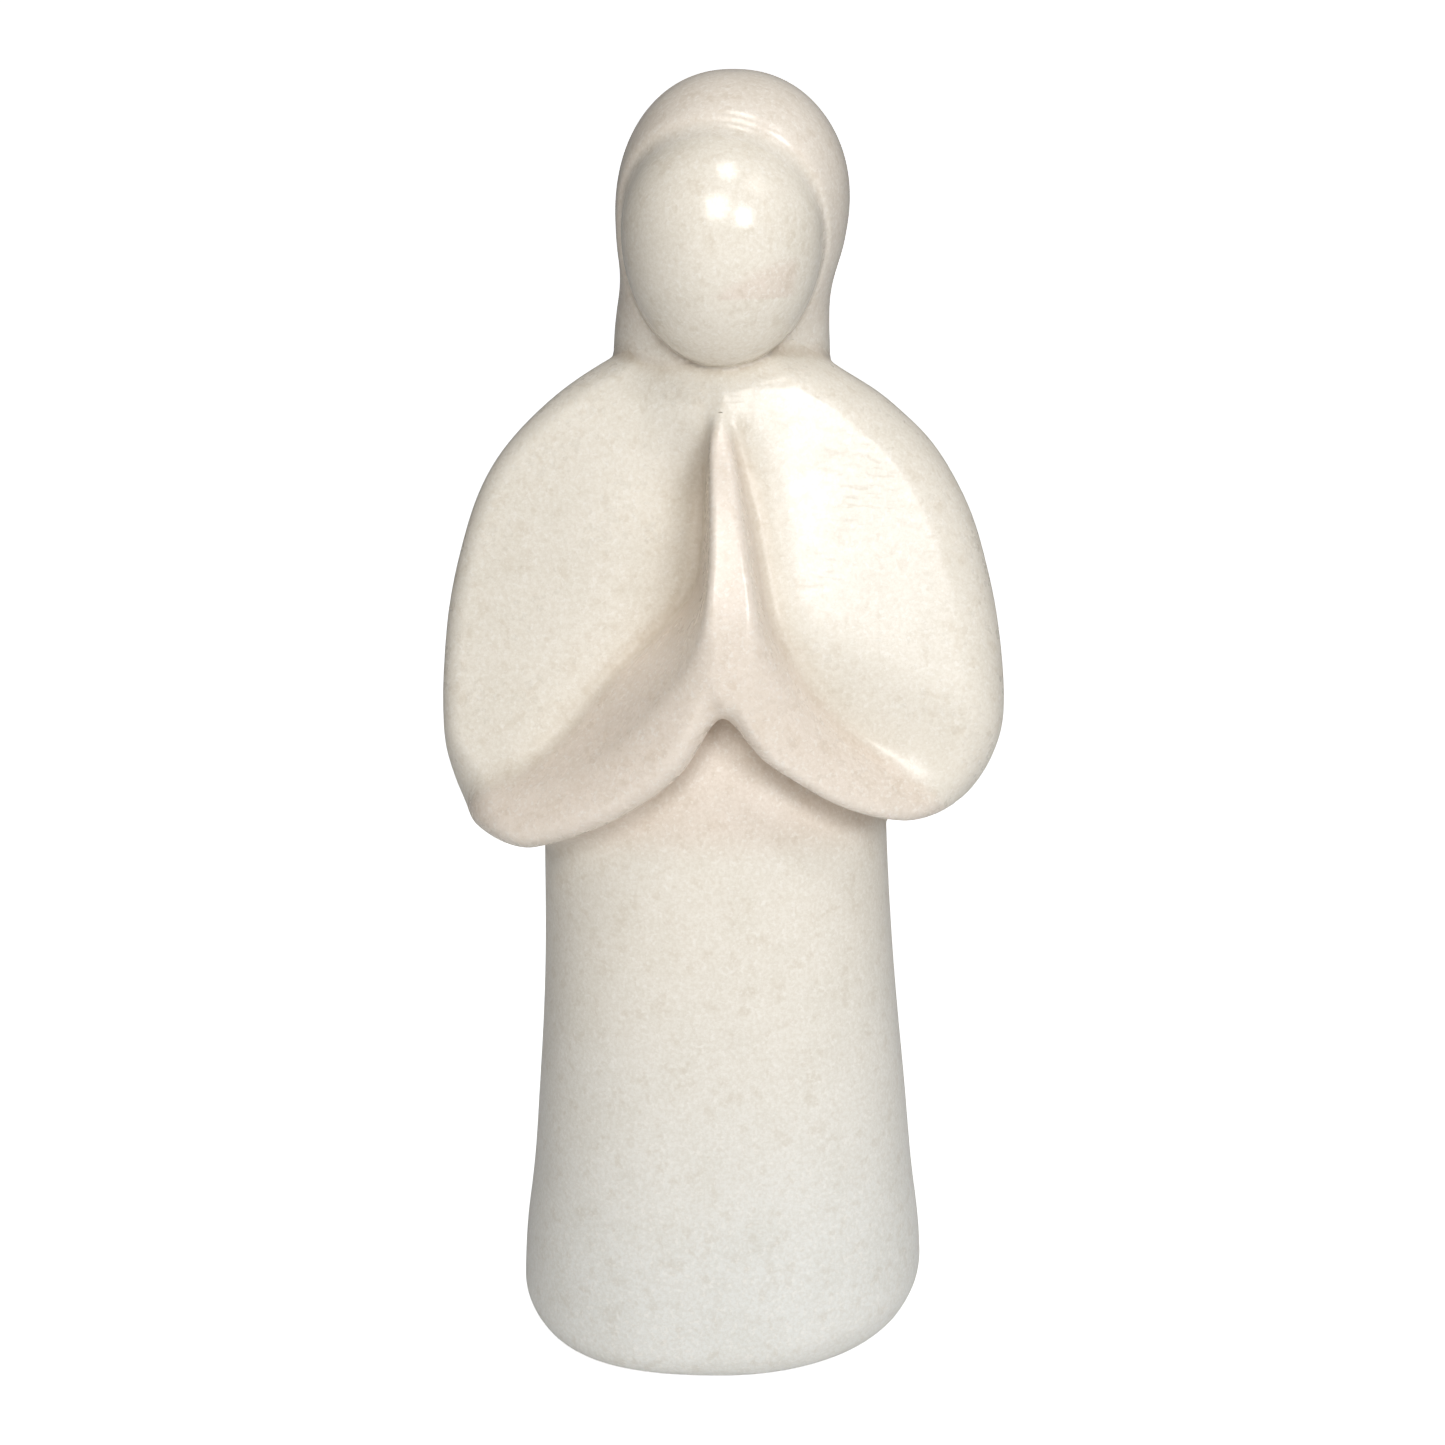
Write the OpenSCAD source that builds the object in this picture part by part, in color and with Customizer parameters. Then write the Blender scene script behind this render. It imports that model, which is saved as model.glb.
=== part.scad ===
// Praying madonna figure in polished soapstone, drawn in millimetres.
// +Z is up, the face looks towards -Y, and the origin is the middle of the foot on the table.
// The figure is one stone. Its five bodies meet face to face along the carved lines.

/* [Gown] */
// Width of the gown at its widest, just above the foot
gown_foot_w = 64.6; // [54:0.2:78]
// Depth of the gown at its widest, from front to back
gown_foot_d = 54; // [44:0.5:66]
// Width of the gown where it goes up under the cloak
gown_top_w = 54; // [44:0.2:64]
// Depth of the gown where it goes up under the cloak
gown_top_d = 43; // [34:0.5:52]
// Height of the gown from the table to the cloak's hem
gown_h = 80; // [64:1:100]
// Radius of the worn edge round the foot
foot_edge_r = 6.5; // [4:0.5:9]

/* [Cloak] */
// Width of the cloak from elbow to elbow
cloak_w = 87.6; // [76:0.2:104]
// Height of the cloak from its hem to the neck
cloak_h = 77; // [64:1:92]
// Height of the widest place above the hem
elbow_rise = 24.5; // [19:0.5:30]
// How far the cloak stands out past the gown at the front and back
cloak_wall = 4; // [3:0.5:6]
// Depth of each dished front panel, below the cloak's round front
dish_depth = 10; // [6:0.5:12]
// Height of a dished panel
dish_h = 62; // [50:1:72]
// Width of the plain rim outside a dished panel
rim_w = 6; // [4:0.5:9]

/* [Praying arms] */
// Width of the joined hands along their front edge
hands_w = 5; // [4:0.2:7]
// Length of the joined hands, from the fingertips to the wrists
hands_len = 36; // [29:1:42]
// How far the hands stand in front of the gown's axis
hands_reach = 28; // [24:0.5:32]
// Thickness of a sleeve
sleeve_t = 11.5; // [9:0.5:14]
// Height of the left elbow above the cloak's hem
left_elbow_rise = 13; // [10:0.5:18]
// Height of the right elbow above the cloak's hem, a little more than the left one
right_elbow_rise = 16.5; // [12:0.5:20]
// Height of the opening under the sleeves, from the cloak's hem to its peak
opening_rise = 30; // [24:1:34]
// Slope of the opening's sides, in degrees
sleeve_slope = 38; // [32:1:44]

/* [Veil] */
// Width of the veil across the head
veil_w = 35; // [30:0.5:42]
// Depth of the veil from front to back
veil_d = 37; // [32:0.5:44]
// Height of the veil from the neck to the crown
veil_h = 43; // [38:0.5:52]
// Width of the veil at its waist, above the shoulders
veil_waist_w = 32.4; // [28:0.2:36]
// Thickness of the veil's tail on the back of the cloak
tail_t = 1.6; // [1:0.1:3]
// Length of the tail below the neck
tail_len = 24; // [16:1:34]
// Radius of the tail's rolled hem
hem_r = 1.8; // [1.2:0.1:2.6]

/* [Face] */
// Width of the blank egg-shaped face
face_w = 30; // [24:0.5:33]
// Height of the egg from chin to brow
face_h = 36; // [30:0.5:40]
// How far the egg's axis stands in front of the veil's axis
face_reach = 9.5; // [7:0.5:12]

/* [Fit] */
// Clearance round the egg in the hollow that holds it
egg_gap = 0.02; // [0.01:0.01:0.1]

/* [Hidden] */

stone = [0.90, 0.87, 0.81];
warm_stone = [0.88, 0.83, 0.77];
around = 56;        // corners round a lofted section
eps = 0.01;
far = 200;          // reach of a cutting block, well past the figure

hem_z = gown_h;
neck_z = hem_z + cloak_h;
elbow_z = hem_z + elbow_rise;
cloak_d = gown_top_d + 2 * cloak_wall;
shoulder_run = cloak_h - elbow_rise;

// Sections are squarer than an ellipse, as a figure cut from a sawn block is.
gown_square = 2.4;
cloak_square = 2.6;
veil_square = 2.1;

// The gown goes on inside the cloak, up to a gable that lies behind the sleeves.
gable_share = 0.3;    // how far the gable goes up behind a sleeve, as a share of its thickness
opening_z = hem_z + opening_rise;
gable_z = opening_z + sleeve_t * gable_share;

// The wrists rest on the peak of the opening.
wrist_share = 0.4;    // height of the wrist over the opening, as a share of a sleeve's thickness
wrist_z = opening_z + sleeve_t * wrist_share;
tip_z = wrist_z + hands_len;

// The neck keeps this share of the cloak's width and depth.
neck_share_w = 0.40;
neck_share_d = 0.60;
shoulder_square = 1.75;   // how full the shoulders are
elbow_square = 3.5;       // how square the elbows are
tuck_share = 0.35;        // how much of the elbows' rounding the cloak's depth takes

// Each dish is tipped back at the shoulder and turned towards the hands.
dish_mid_share = 0.6;     // height of a dish's middle, as a share of the cloak's height
dish_lean = 6;
dish_turn = 13;
dish_sunk = 1;            // how far a dish's middle lies behind the cloak's front

// The head sits back over the shoulders, and the egg's chin hangs just below the neck line.
head_back = 2.5;
chin_drop = 0.5;
face_z = neck_z - chin_drop;
egg_wide_at = 0.56;   // height of the egg's widest place, as a share of its height
egg_steps = 9;        // cones in each half of the egg

// ---- shapes from rules ----

function power(x, n) = sign(x) * pow(abs(x), n);

// A closed section with its middle at [cx, cy, z].
function section(w, d, square, cx, cy, z) = [
    for (i = [0 : around - 1])
        let (a = 360 * (i + 0.5) / around)
        [cx + w / 2 * power(cos(a), 2 / square), cy + d / 2 * power(sin(a), 2 / square), z]
];

// How wide a rounded form still is at u of the way from its widest place to its end.
function swell(u, square) = pow(max(0, 1 - pow(u, square)), 1 / square);

// A solid skin over a stack of sections, bottom first.
module loft(sections) {
    last = len(sections) - 1;
    faces = concat(
        [[for (i = [0 : around - 1]) i]],
        [
            for (s = [0 : last - 1], i = [0 : around - 1])
                let (a = s * around + i, b = s * around + (i + 1) % around)
                for (t = [[a, a + around, b + around], [a, b + around, b]]) t
        ],
        [[for (i = [around - 1 : -1 : 0]) last * around + i]]
    );
    polyhedron(points = [for (s = sections) each s], faces = faces);
}

// ---- gown ----

// How far up the gown's taper a height is, from 0 above the foot's edge to 1 at the hem.
function gown_taper(z) = min(1, max(0, z - foot_edge_r) / (gown_h - foot_edge_r));
function gown_width(z) = gown_foot_w + (gown_top_w - gown_foot_w) * gown_taper(z);
function gown_depth(z) = gown_foot_d + (gown_top_d - gown_foot_d) * gown_taper(z);

module gown_column() {
    foot = [
        for (a = [0 : 15 : 75])
            let (z = foot_edge_r * (1 - cos(a)), inset = foot_edge_r * (1 - sin(a)))
            section(gown_foot_w - 2 * inset, gown_foot_d - 2 * inset, gown_square, 0, 0, z)
    ];
    wall = [
        for (z = [foot_edge_r, gown_h * 0.3, gown_h * 0.55, gown_h, gable_z + 1])
            section(gown_width(z), gown_depth(z), gown_square, 0, 0, z)
    ];
    loft(concat(foot, wall));
}

// Everything above two planes that fall from the wrists to the elbows.
module above_gable() {
    side = far / 2;
    drop = side * tan(sleeve_slope);
    top = far * 2;
    rotate([90, 0, 0])
        linear_extrude(far, center = true)
            polygon([
                [0, gable_z], [side, gable_z - drop], [side, top],
                [-side, top], [-side, gable_z - drop]
            ]);
}

module gown_form() {
    difference() {
        gown_column();
        above_gable();
    }
}

module gown() {
    color(stone) gown_form();
}

// ---- cloak ----

function cloak_share(z) =
    z < elbow_z
        ? swell((elbow_z - z) / (elbow_rise + eps), elbow_square)
        : neck_share_w + (1 - neck_share_w) * swell((z - elbow_z) / shoulder_run, shoulder_square);

function cloak_depth_share(z) =
    z < elbow_z
        ? 1 - (1 - cloak_share(z)) * tuck_share
        : neck_share_d + (1 - neck_share_d) * swell((z - elbow_z) / shoulder_run, shoulder_square);

// The cloak without its dishes. grow makes it larger all round, for the veil's tail.
module cloak_block(grow = 0) {
    low = [for (u = [0.97, 0.9, 0.8, 0.65, 0.45, 0.2]) elbow_z - u * elbow_rise];
    high = [for (u = [0, 0.2, 0.4, 0.55, 0.68, 0.78, 0.86, 0.92, 0.97, 1]) elbow_z + u * shoulder_run];
    loft([
        for (z = concat(low, high))
            section(
                cloak_w * cloak_share(z) + 2 * grow,
                cloak_d * cloak_depth_share(z) + 2 * grow,
                cloak_square, 0, 0, z
            )
    ]);
}

// One dished panel, deepest beside the hands. side is -1 for the left and 1 for the right.
module dish(side) {
    half_w = (cloak_w / 2 - rim_w) / 2;
    translate([side * half_w, -cloak_d / 2 + dish_sunk, hem_z + cloak_h * dish_mid_share])
        rotate([0, side * dish_lean, side * dish_turn])
            scale([half_w, dish_depth, dish_h / 2])
                sphere(r = 1, $fn = 48);
}

// The open wedge under the sleeves, in front of the gown.
module under_sleeves() {
    side = opening_rise / tan(sleeve_slope);
    low_z = hem_z - elbow_rise;
    rotate([90, 0, 0])
        linear_extrude(far)
            polygon([[0, opening_z], [side, hem_z], [side, low_z], [-side, low_z], [-side, hem_z]]);
}

module cloak() {
    color(stone)
        difference() {
            cloak_block();
            dish(-1);
            dish(1);
            under_sleeves();
            gown_form();
            arms_block();
            egg(egg_gap);
        }
}

// ---- praying arms ----

// A point on a curve that leaves a, heads for b and ends at c.
function bend(a, b, c, t) = (1 - t) * (1 - t) * a + 2 * t * (1 - t) * b + t * t * c;

// One cross-section of an arm: a small round front and a larger round root inside the cloak.
module rib(at, r, root_y, root_r) {
    translate(at) sphere(r = r, $fn = 20);
    translate([at[0], root_y, at[2]]) sphere(r = root_r, $fn = 20);
}

// The fingertips lie back against the chest and are narrower than the wrists.
module hands() {
    steps = 6;
    r = hands_w / 2;
    reach = hands_reach - r;
    tip_back = 0.34;      // how far the fingertips lie back, as a share of the reach
    tip_share = 0.8;      // width of the fingertips, as a share of the hands' width
    root_share = 0.45;    // where the hands' root lies, as a share of the reach
    root_swell = [1.4, 2.2];    // the root's size at the fingertips and at the wrists
    for (i = [0 : steps - 1])
        hull()
            for (t = [i, i + 1] / steps)
                rib(
                    [t, -reach * (1 - tip_back * pow(1 - t, 3)), tip_z - r - t * hands_len],
                    r * (tip_share + (1 - tip_share) * t),
                    -reach * root_share,
                    r * (root_swell[0] + (root_swell[1] - root_swell[0]) * t)
                );
}

// One sleeve, from the wrists down and out to the elbow. It gets thicker towards the elbow.
module sleeve(side, rise) {
    steps = 8;
    wrist_r = sleeve_t * 0.36;
    elbow_r = sleeve_t * 0.58;
    root_r = sleeve_t * 0.55;
    root_y = -cloak_d * 0.24;
    cuff_y = -hands_reach + sleeve_t * 0.42;
    turn_y = -hands_reach + sleeve_t * 0.5;
    turn_x = cloak_w * 0.1;
    turn_over = 4;        // how far the sleeve's turn lies above the elbow
    elbow_x = cloak_w / 2 - sleeve_t * 0.9;
    elbow_y = -cloak_d / 2 + sleeve_t * 0.75;
    wrist = [side, cuff_y, wrist_z];
    turn = [side * turn_x, turn_y, hem_z + rise + turn_over];
    elbow = [side * elbow_x, elbow_y, hem_z + rise];
    for (i = [0 : steps - 1])
        hull()
            for (t = [i, i + 1] / steps)
                rib(bend(wrist, turn, elbow, t), wrist_r + (elbow_r - wrist_r) * t, root_y, root_r);
}

module arms_block() {
    hands();
    sleeve(-1, left_elbow_rise);
    sleeve(1, right_elbow_rise);
}

module praying_arms() {
    color(warm_stone)
        difference() {
            arms_block();
            gown_form();
            veil_head();
            egg(egg_gap);
        }
}

// ---- face ----

// Half of the egg's outline, as [radius, height] from the chin up.
function egg_outline(gap) =
    let (
        r = face_w / 2 + gap,
        low = face_h * egg_wide_at + gap,
        high = face_h * (1 - egg_wide_at) + gap,
        middle = face_h * egg_wide_at
    )
    concat(
        [for (i = [0 : egg_steps]) let (a = 90 * i / egg_steps) [r * sin(a), middle - low * cos(a)]],
        [for (i = [1 : egg_steps]) let (a = 90 * i / egg_steps) [r * cos(a), middle + high * sin(a)]]
    );

module egg(gap = 0) {
    translate([0, head_back - face_reach, face_z])
        rotate_extrude($fn = 96)
            polygon(egg_outline(gap));
}

module face() {
    color(stone) egg();
}

// ---- veil ----

crown_square = 2.3;   // how full the crown is

function veil_width(u) = u < 0.5
    ? veil_waist_w + (veil_w - veil_waist_w) * (1 - cos(360 * u)) / 2
    : veil_w * swell((u - 0.5) * 2, crown_square);

module veil_head() {
    lean = 1.6;       // the crown leans a little to the right
    lean_from = 0.4;  // share of the head's height where the lean is complete
    loft([
        for (u = [0, 0.1, 0.2, 0.3, 0.4, 0.5, 0.6, 0.7, 0.78, 0.85, 0.91, 0.96, 0.985, 0.998])
            section(
                veil_width(u), veil_width(u) * veil_d / veil_w, veil_square,
                lean * min(1, u / lean_from), head_back, neck_z + u * veil_h
            )
    ]);
}

tail_w_share = 1.1;   // width of the tail at the shoulders, as a share of the veil's waist
tail_half_w = veil_waist_w * tail_w_share / 2;

// The outline of the tail's lower edge on the back, from one shoulder to the other.
function tail_edge(t) = [tail_half_w * cos(180 * t), neck_z - tail_len * sin(180 * t)];

module veil_tail() {
    steps = 12;
    intersection() {
        cloak_block(grow = tail_t);
        rotate([90, 0, 180])
            linear_extrude(far)
                polygon(concat(
                    [for (i = [0 : steps]) tail_edge(i / steps)],
                    [[-tail_half_w, neck_z + tail_t], [tail_half_w, neck_z + tail_t]]
                ));
    }
}

// Depth of the cloak's back at a place [x, z].
function back_y(x, z) =
    let (half_w = cloak_w / 2 * cloak_share(z), half_d = cloak_d / 2 * cloak_depth_share(z))
    half_d * swell(min(0.98, abs(x) / half_w), cloak_square);

module tail_hem() {
    steps = 12;
    for (i = [1 : steps - 2])
        hull()
            for (t = [i, i + 1] / steps) {
                p = tail_edge(t);
                translate([p[0], back_y(p[0], p[1]), p[1]]) sphere(r = hem_r, $fn = 16);
            }
}

module veil() {
    color(stone)
        difference() {
            union() {
                veil_head();
                veil_tail();
                tail_hem();
            }
            egg(egg_gap);
            cloak_block();
        }
}

gown();
cloak();
praying_arms();
veil();
face();
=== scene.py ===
import math
from concurrent.futures import ThreadPoolExecutor

import bpy
import numpy as np
import openvdb
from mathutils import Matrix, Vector


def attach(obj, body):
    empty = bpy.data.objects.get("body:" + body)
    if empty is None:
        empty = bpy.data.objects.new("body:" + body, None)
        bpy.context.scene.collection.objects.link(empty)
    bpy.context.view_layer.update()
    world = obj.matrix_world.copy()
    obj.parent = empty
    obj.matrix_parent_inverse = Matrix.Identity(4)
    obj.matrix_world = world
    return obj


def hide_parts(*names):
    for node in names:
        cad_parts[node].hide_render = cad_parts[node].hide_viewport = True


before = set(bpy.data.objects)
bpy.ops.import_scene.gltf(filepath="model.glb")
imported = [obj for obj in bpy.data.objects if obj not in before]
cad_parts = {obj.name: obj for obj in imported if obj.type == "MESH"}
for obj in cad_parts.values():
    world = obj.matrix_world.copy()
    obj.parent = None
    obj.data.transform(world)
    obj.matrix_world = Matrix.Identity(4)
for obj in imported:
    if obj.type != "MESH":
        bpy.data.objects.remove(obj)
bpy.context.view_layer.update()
print("frame loaded")

# The stone is one carved block. Each form below is a distance-like field in millimetres,
# negative inside; the fields are blended like carved fillets, then each piece is meshed
# out to the crease where it meets its neighbour.

gridStep = 0.55  # mm between samples
curveSteps = 900  # entries in each dense table


def curve(stops):
    # smooth line through a few given (position, value) stops, kept as a dense table
    pos = np.array([s[0] for s in stops], float)
    val = np.array([s[1] for s in stops], float)
    n = len(pos)
    h = np.diff(pos)
    a = np.zeros((n, n))
    b = np.zeros(n)
    a[0, 0] = a[-1, -1] = 1.0
    for i in range(1, n - 1):
        a[i, i - 1], a[i, i], a[i, i + 1] = h[i - 1], 2 * (h[i - 1] + h[i]), h[i]
        b[i] = 6 * ((val[i + 1] - val[i]) / h[i] - (val[i] - val[i - 1]) / h[i - 1])
    m = np.linalg.solve(a, b)
    t = np.linspace(pos[0], pos[-1], curveSteps)
    k = np.clip(np.searchsorted(pos, t) - 1, 0, n - 2)
    dl, dr, w = t - pos[k], pos[k + 1] - t, h[k]
    v = (m[k] * dr ** 3 + m[k + 1] * dl ** 3) / (6 * w)
    v += (val[k] / w - m[k] * w / 6) * dr + (val[k + 1] / w - m[k + 1] * w / 6) * dl
    return t.astype(np.float32), v.astype(np.float32), np.gradient(v, t).astype(np.float32)


def at(table, p):
    return np.interp(p, table[0], table[1]).astype(np.float32)


def slope(table, p):
    return np.interp(p, table[0], table[2]).astype(np.float32)


def step(p, a, b):
    t = np.clip((p - a) / (b - a), 0, 1)
    return t * t * (3 - 2 * t)


def softMin(a, b, k):
    h = np.maximum(k - np.abs(a - b), 0) / k
    return np.minimum(a, b) - h * h * k * 0.25


def roundEdge(a, b, r):  # inside both, with a convex edge of radius r
    return np.minimum(np.maximum(a, b), -r) + np.hypot(np.maximum(a + r, 0), np.maximum(b + r, 0))


def fillet(a, b, r):  # inside either, with a concave fillet of radius r
    return np.maximum(np.minimum(a, b), r) - np.hypot(np.maximum(r - a, 0), np.maximum(r - b, 0))


def superSection(x, y, w, d, n, dw=0, dd=0):
    u = np.abs(x) / w
    v = np.abs(y) / d
    q = (u ** n + v ** n) ** (1 / n) + 1e-6
    gu = (u / q) ** (n - 1)
    gv = (v / q) ** (n - 1)
    g = np.sqrt((gu / w) ** 2 + (gv / d) ** 2 + (gu * u * dw / w + gv * v * dd / d) ** 2)
    return (q - 1) / np.maximum(g, 0.01)


# sizes are in millimetres; curves are (height, value) stops
gownShape = {
    "halfWidth": [(-2, 32.4), (10, 32.2), (18, 31.7), (25, 30.8), (39, 29.5), (52, 28.4), (66, 27.5),
                  (80, 27.0), (120, 26)],
    "halfDepth": [(-2, 27.2), (10, 27.0), (25, 25.7), (45, 23.9), (66, 22.3), (78, 21.5), (86, 20.6),
                  (95, 18.4), (105, 15.5), (120, 12)],
    "lean": [(-2, 0), (20, 0.1), (45, -0.1), (66, -0.6), (80, -1.0), (120, -1.2)],
    "square": 2.35,
    "footEdge": 8.6, "footEdgeRight": 3.8, "footEdgeFront": -3.3,
    "rightSpan": (0, 26), "frontSpan": (-8, -26),
    "riseInside": 5.0,
}
gownW, gownD, gownX = (curve(gownShape[k]) for k in ("halfWidth", "halfDepth", "lean"))


def gownField(x, y, z):
    g = gownShape
    slopes = slope(gownW, z), slope(gownD, z)
    col = superSection(x - at(gownX, z), y, at(gownW, z), at(gownD, z), g["square"], *slopes)
    # the worn edge of the foot is rounder on the right and tighter in front
    edge = g["footEdge"] + g["footEdgeRight"] * step(x, *g["rightSpan"])
    edge = edge + g["footEdgeFront"] * step(y, *g["frontSpan"])
    return np.maximum(roundEdge(col, -z, edge), z - hemHeight(x, y)[0] - g["riseInside"])


cloakShape = {
    "left": [(76, 23), (80.3, 29.6), (82.3, 33.0), (84.8, 36.2), (88, 39.2), (90.8, 40.8), (93.6, 41.9),
             (97, 42.7), (101, 43.0), (106, 43.1), (112, 42.8), (118, 42.2), (124, 41.1), (130.5, 39.4),
             (137, 37.1), (143, 33.6), (149, 28.1), (152, 24.6), (155, 20.3), (158, 15.2), (162, 8.5),
             (166, 4)],
    "right": [(78, 17), (84, 26.6), (86.5, 31.0), (89.3, 34.9), (92, 37.8), (94.6, 39.9), (98, 41.6),
              (101, 42.5), (105, 43.0), (110, 42.9), (116, 42.3), (121, 41.5), (127, 40.1), (134, 37.9),
              (140, 34.9), (146, 30.5), (149, 27.3), (152, 23.6), (155, 18.8), (158, 14.3), (162, 8.5),
              (166, 4)],
    "back": [(70, 24.8), (84, 25.6), (100, 26), (115, 26), (130, 25), (140, 23.4), (150, 20.0),
             (157, 15.5), (162, 10), (166, 6)],
    "widestY": -2.0,
    "square": 2.35,
    "rimLeft": 3.0, "rimRight": 7.0, "rimBlend": (-8, 8), "rimElbow": 6.5, "rimElbowSpan": (102, 93),
    # how far the panels stand forward at the middle, and the left one's fall, crown and dish
    "panel": [(76, 20.2), (92, 18.8), (102, 17.2), (108, 16.2), (114, 15.5), (120, 15.1), (128, 14.8),
              (136, 14.6), (144, 14.2), (150, 13.4), (154, 11.9), (157, 9.8), (160, 7.0), (163, 4.0),
              (168, -1)],
    "leftFall": 0.12, "leftCrown": 0.0014, "leftDish": 0.0045,
    "dishX": 4, "dishZ": 112, "dishAcross": 0.30, "dishUp": 0.55, "dishSoft": 3.0,
    "dishNear": 0.25, "dishSpan": (1, 13),
    # the right panel is two planes that meet along a falling bend line
    "rightLow": 20.4, "rightTurn": 0.10, "rightLean": 0.24, "rightDip": 0.17,
    "bendX": 8.0, "bendZ": 120.5, "bendFall": 0.50, "bendSoft": 2.0,
    "turnFrom": 11, "turnSoft": 4.0, "dipDepth": 22, "dipSoft": 8.0,
    "capRise": 12, "capSpan": (158, 146), "capSoft": 3.0,
    "panelBlend": (-3, 5),
    # valleys beside the arms
    "groove": 6.6, "grooveWide": 8.5, "grooveTop": (151, 136), "grooveSide": (-33, -12),
    "rightGroove": 2.2, "rightGrooveWide": 3.6, "rightGrooveTop": (150, 140), "rightGrooveSide": (30, 16),
    # height of the hem against x in front, and at the back
    "hemFront": [(-48, 89), (-43, 86.0), (-38, 84.4), (-34, 84.0), (-30, 84.5), (-26, 85.7),
                 (-20.5, 88.0), (-16.9, 89.8), (-13.2, 92.1), (-8.1, 96.0), (-5.2, 99.2), (-2.6, 103.6),
                 (-0.2, 106.6), (2.6, 104.6), (5.2, 101.4), (10.2, 97.5), (13.9, 95.0), (18.7, 92.4),
                 (23.6, 90.6), (28, 89.4), (33, 88.3), (38, 88.6), (43, 91), (48, 94)],
    "hemBack": 83.0, "hemTurn": (-14, 2),
    "lipLeft": 4.6, "lipRight": 2.4, "lipBlend": (-3, 6),
    "lipElbow": 4.6, "lipElbowX": (22, 36), "lipElbowY": (-12, 0),
}
cloakL, cloakR, cloakB = (curve(cloakShape[k]) for k in ("left", "right", "back"))
panelZ, hemX = (curve(cloakShape[k]) for k in ("panel", "hemFront"))


def cloakSide(x, y, z):
    c = cloakShape
    left = x < 0
    w = np.where(left, at(cloakL, z), at(cloakR, z))
    dw = np.where(left, slope(cloakL, z), slope(cloakR, z))
    back = np.maximum(y - c["widestY"], 0)
    return superSection(x, back, w, at(cloakB, z), c["square"], dw, slope(cloakB, z))


def eased(p, width):  # 0 well below zero, p well above it
    return (p + np.sqrt(p * p + width * width)) / 2


def panelHeight(x, z):
    # how far the dished panels stand in front of the middle plane
    c = cloakShape
    u = np.abs(x)
    middle = at(panelZ, z)
    rise = eased(c["dishAcross"] * (u - c["dishX"]) + c["dishUp"] * (z - c["dishZ"]), c["dishSoft"])
    dish = c["leftDish"] * (c["dishNear"] + (1 - c["dishNear"]) * step(u, *c["dishSpan"]))
    left = middle - c["leftFall"] * u - c["leftCrown"] * u * u - dish * rise * rise
    away = np.maximum(np.maximum(*armOutline(x, z)), 0)
    valley = np.exp(-(away / c["grooveWide"]) ** 2)
    left = left - c["groove"] * valley * step(z, *c["grooveTop"]) * step(x, *c["grooveSide"])
    bend = c["bendZ"] - c["bendFall"] * (x - c["bendX"])
    right = c["rightLow"] - c["rightTurn"] * eased(x - c["turnFrom"], c["turnSoft"])
    right = right - c["rightLean"] * eased(z - bend, c["bendSoft"])
    below = eased(bend - z, c["bendSoft"]) - eased(bend - c["dipDepth"] - z, c["dipSoft"])
    right = right - c["rightDip"] * below
    valley = np.exp(-(away / c["rightGrooveWide"]) ** 2)
    valley = c["rightGroove"] * valley * step(z, *c["rightGrooveTop"]) * step(x, *c["rightGrooveSide"])
    right = right - valley
    right = softMin(right, middle + c["capRise"] * step(z, *c["capSpan"]), c["capSoft"])
    return left + (right - left) * step(x, *c["panelBlend"])


def panelField(x, y, z):
    e = 0.4  # spacing for the slopes
    h = panelHeight(x, z)
    hx = (panelHeight(x + e, z) - h) / e
    hz = (panelHeight(x, z + e) - h) / e
    return (-y - h) / np.sqrt(1 + hx * hx + hz * hz)


def hemHeight(x, y):
    c = cloakShape
    front = 1 - step(y, *c["hemTurn"])
    return c["hemBack"] + (at(hemX, x) - c["hemBack"]) * front, slope(hemX, x) * front


def hemField(x, y, z):
    z0, steep = hemHeight(x, y)
    return (z0 - z) / np.sqrt(1 + steep * steep)


def cloakRim(x, z):
    # the rim is a crisp edge on the left panel, a wide roll on the right one and at the elbows
    c = cloakShape
    rim = c["rimLeft"] + (c["rimRight"] - c["rimLeft"]) * step(x, *c["rimBlend"])
    return rim + (c["rimElbow"] - rim) * step(z, *c["rimElbowSpan"])


armShape = {
    "front": [(74, 26.6), (92, 27.4), (104, 27.9), (112, 28.0), (118, 27.5), (124, 26.2), (130, 24.4),
              (138, 21.2), (144, 18.0), (148, 15.3), (151, 12.8), (154, 9.6), (160, 2)],
    "frontRound": 78.0,
    "leftEdge": -1.8, "leftShelf": 89.8, "leftSweep": 44.0,
    "rightEdge": 1.3, "rightLean": 0.155, "rightShelf": 93.3, "rightSweep": 29.0,
    "handEdge": 0.9, "sleeveEdge": 4.6,
    "leftSlant": 0.07, "rightSlant": 0.26, "sleeveSlant": 0.46,
    "elbowFrom": 24.0, "elbowDrop": 0.022,
    "tipFrom": 145.0, "tipLean": 0.033,
    "sleeveSpan": (126, 106), "slantBlend": (-1.5, 2.5), "backLimit": 10,
}
armFront = curve(armShape["front"])


def armHeight(x, z):
    a = armShape
    elbow = np.maximum(x - a["elbowFrom"], 0)
    return at(armFront, z) - x * x / (2 * a["frontRound"]) - a["elbowDrop"] * elbow ** 2


def armOutline(x, z):
    # distance outside the arms' left and right edges, seen from the front
    a = armShape
    tip = np.maximum(z - a["tipFrom"], 0) ** 2 * a["tipLean"]
    left = softMin(a["leftEdge"] + tip - x, z - a["leftShelf"], a["leftSweep"])
    right = x - a["rightEdge"] - (a["tipFrom"] - z) * a["rightLean"]
    return left, softMin(right, z - a["rightShelf"], a["rightSweep"])


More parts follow.
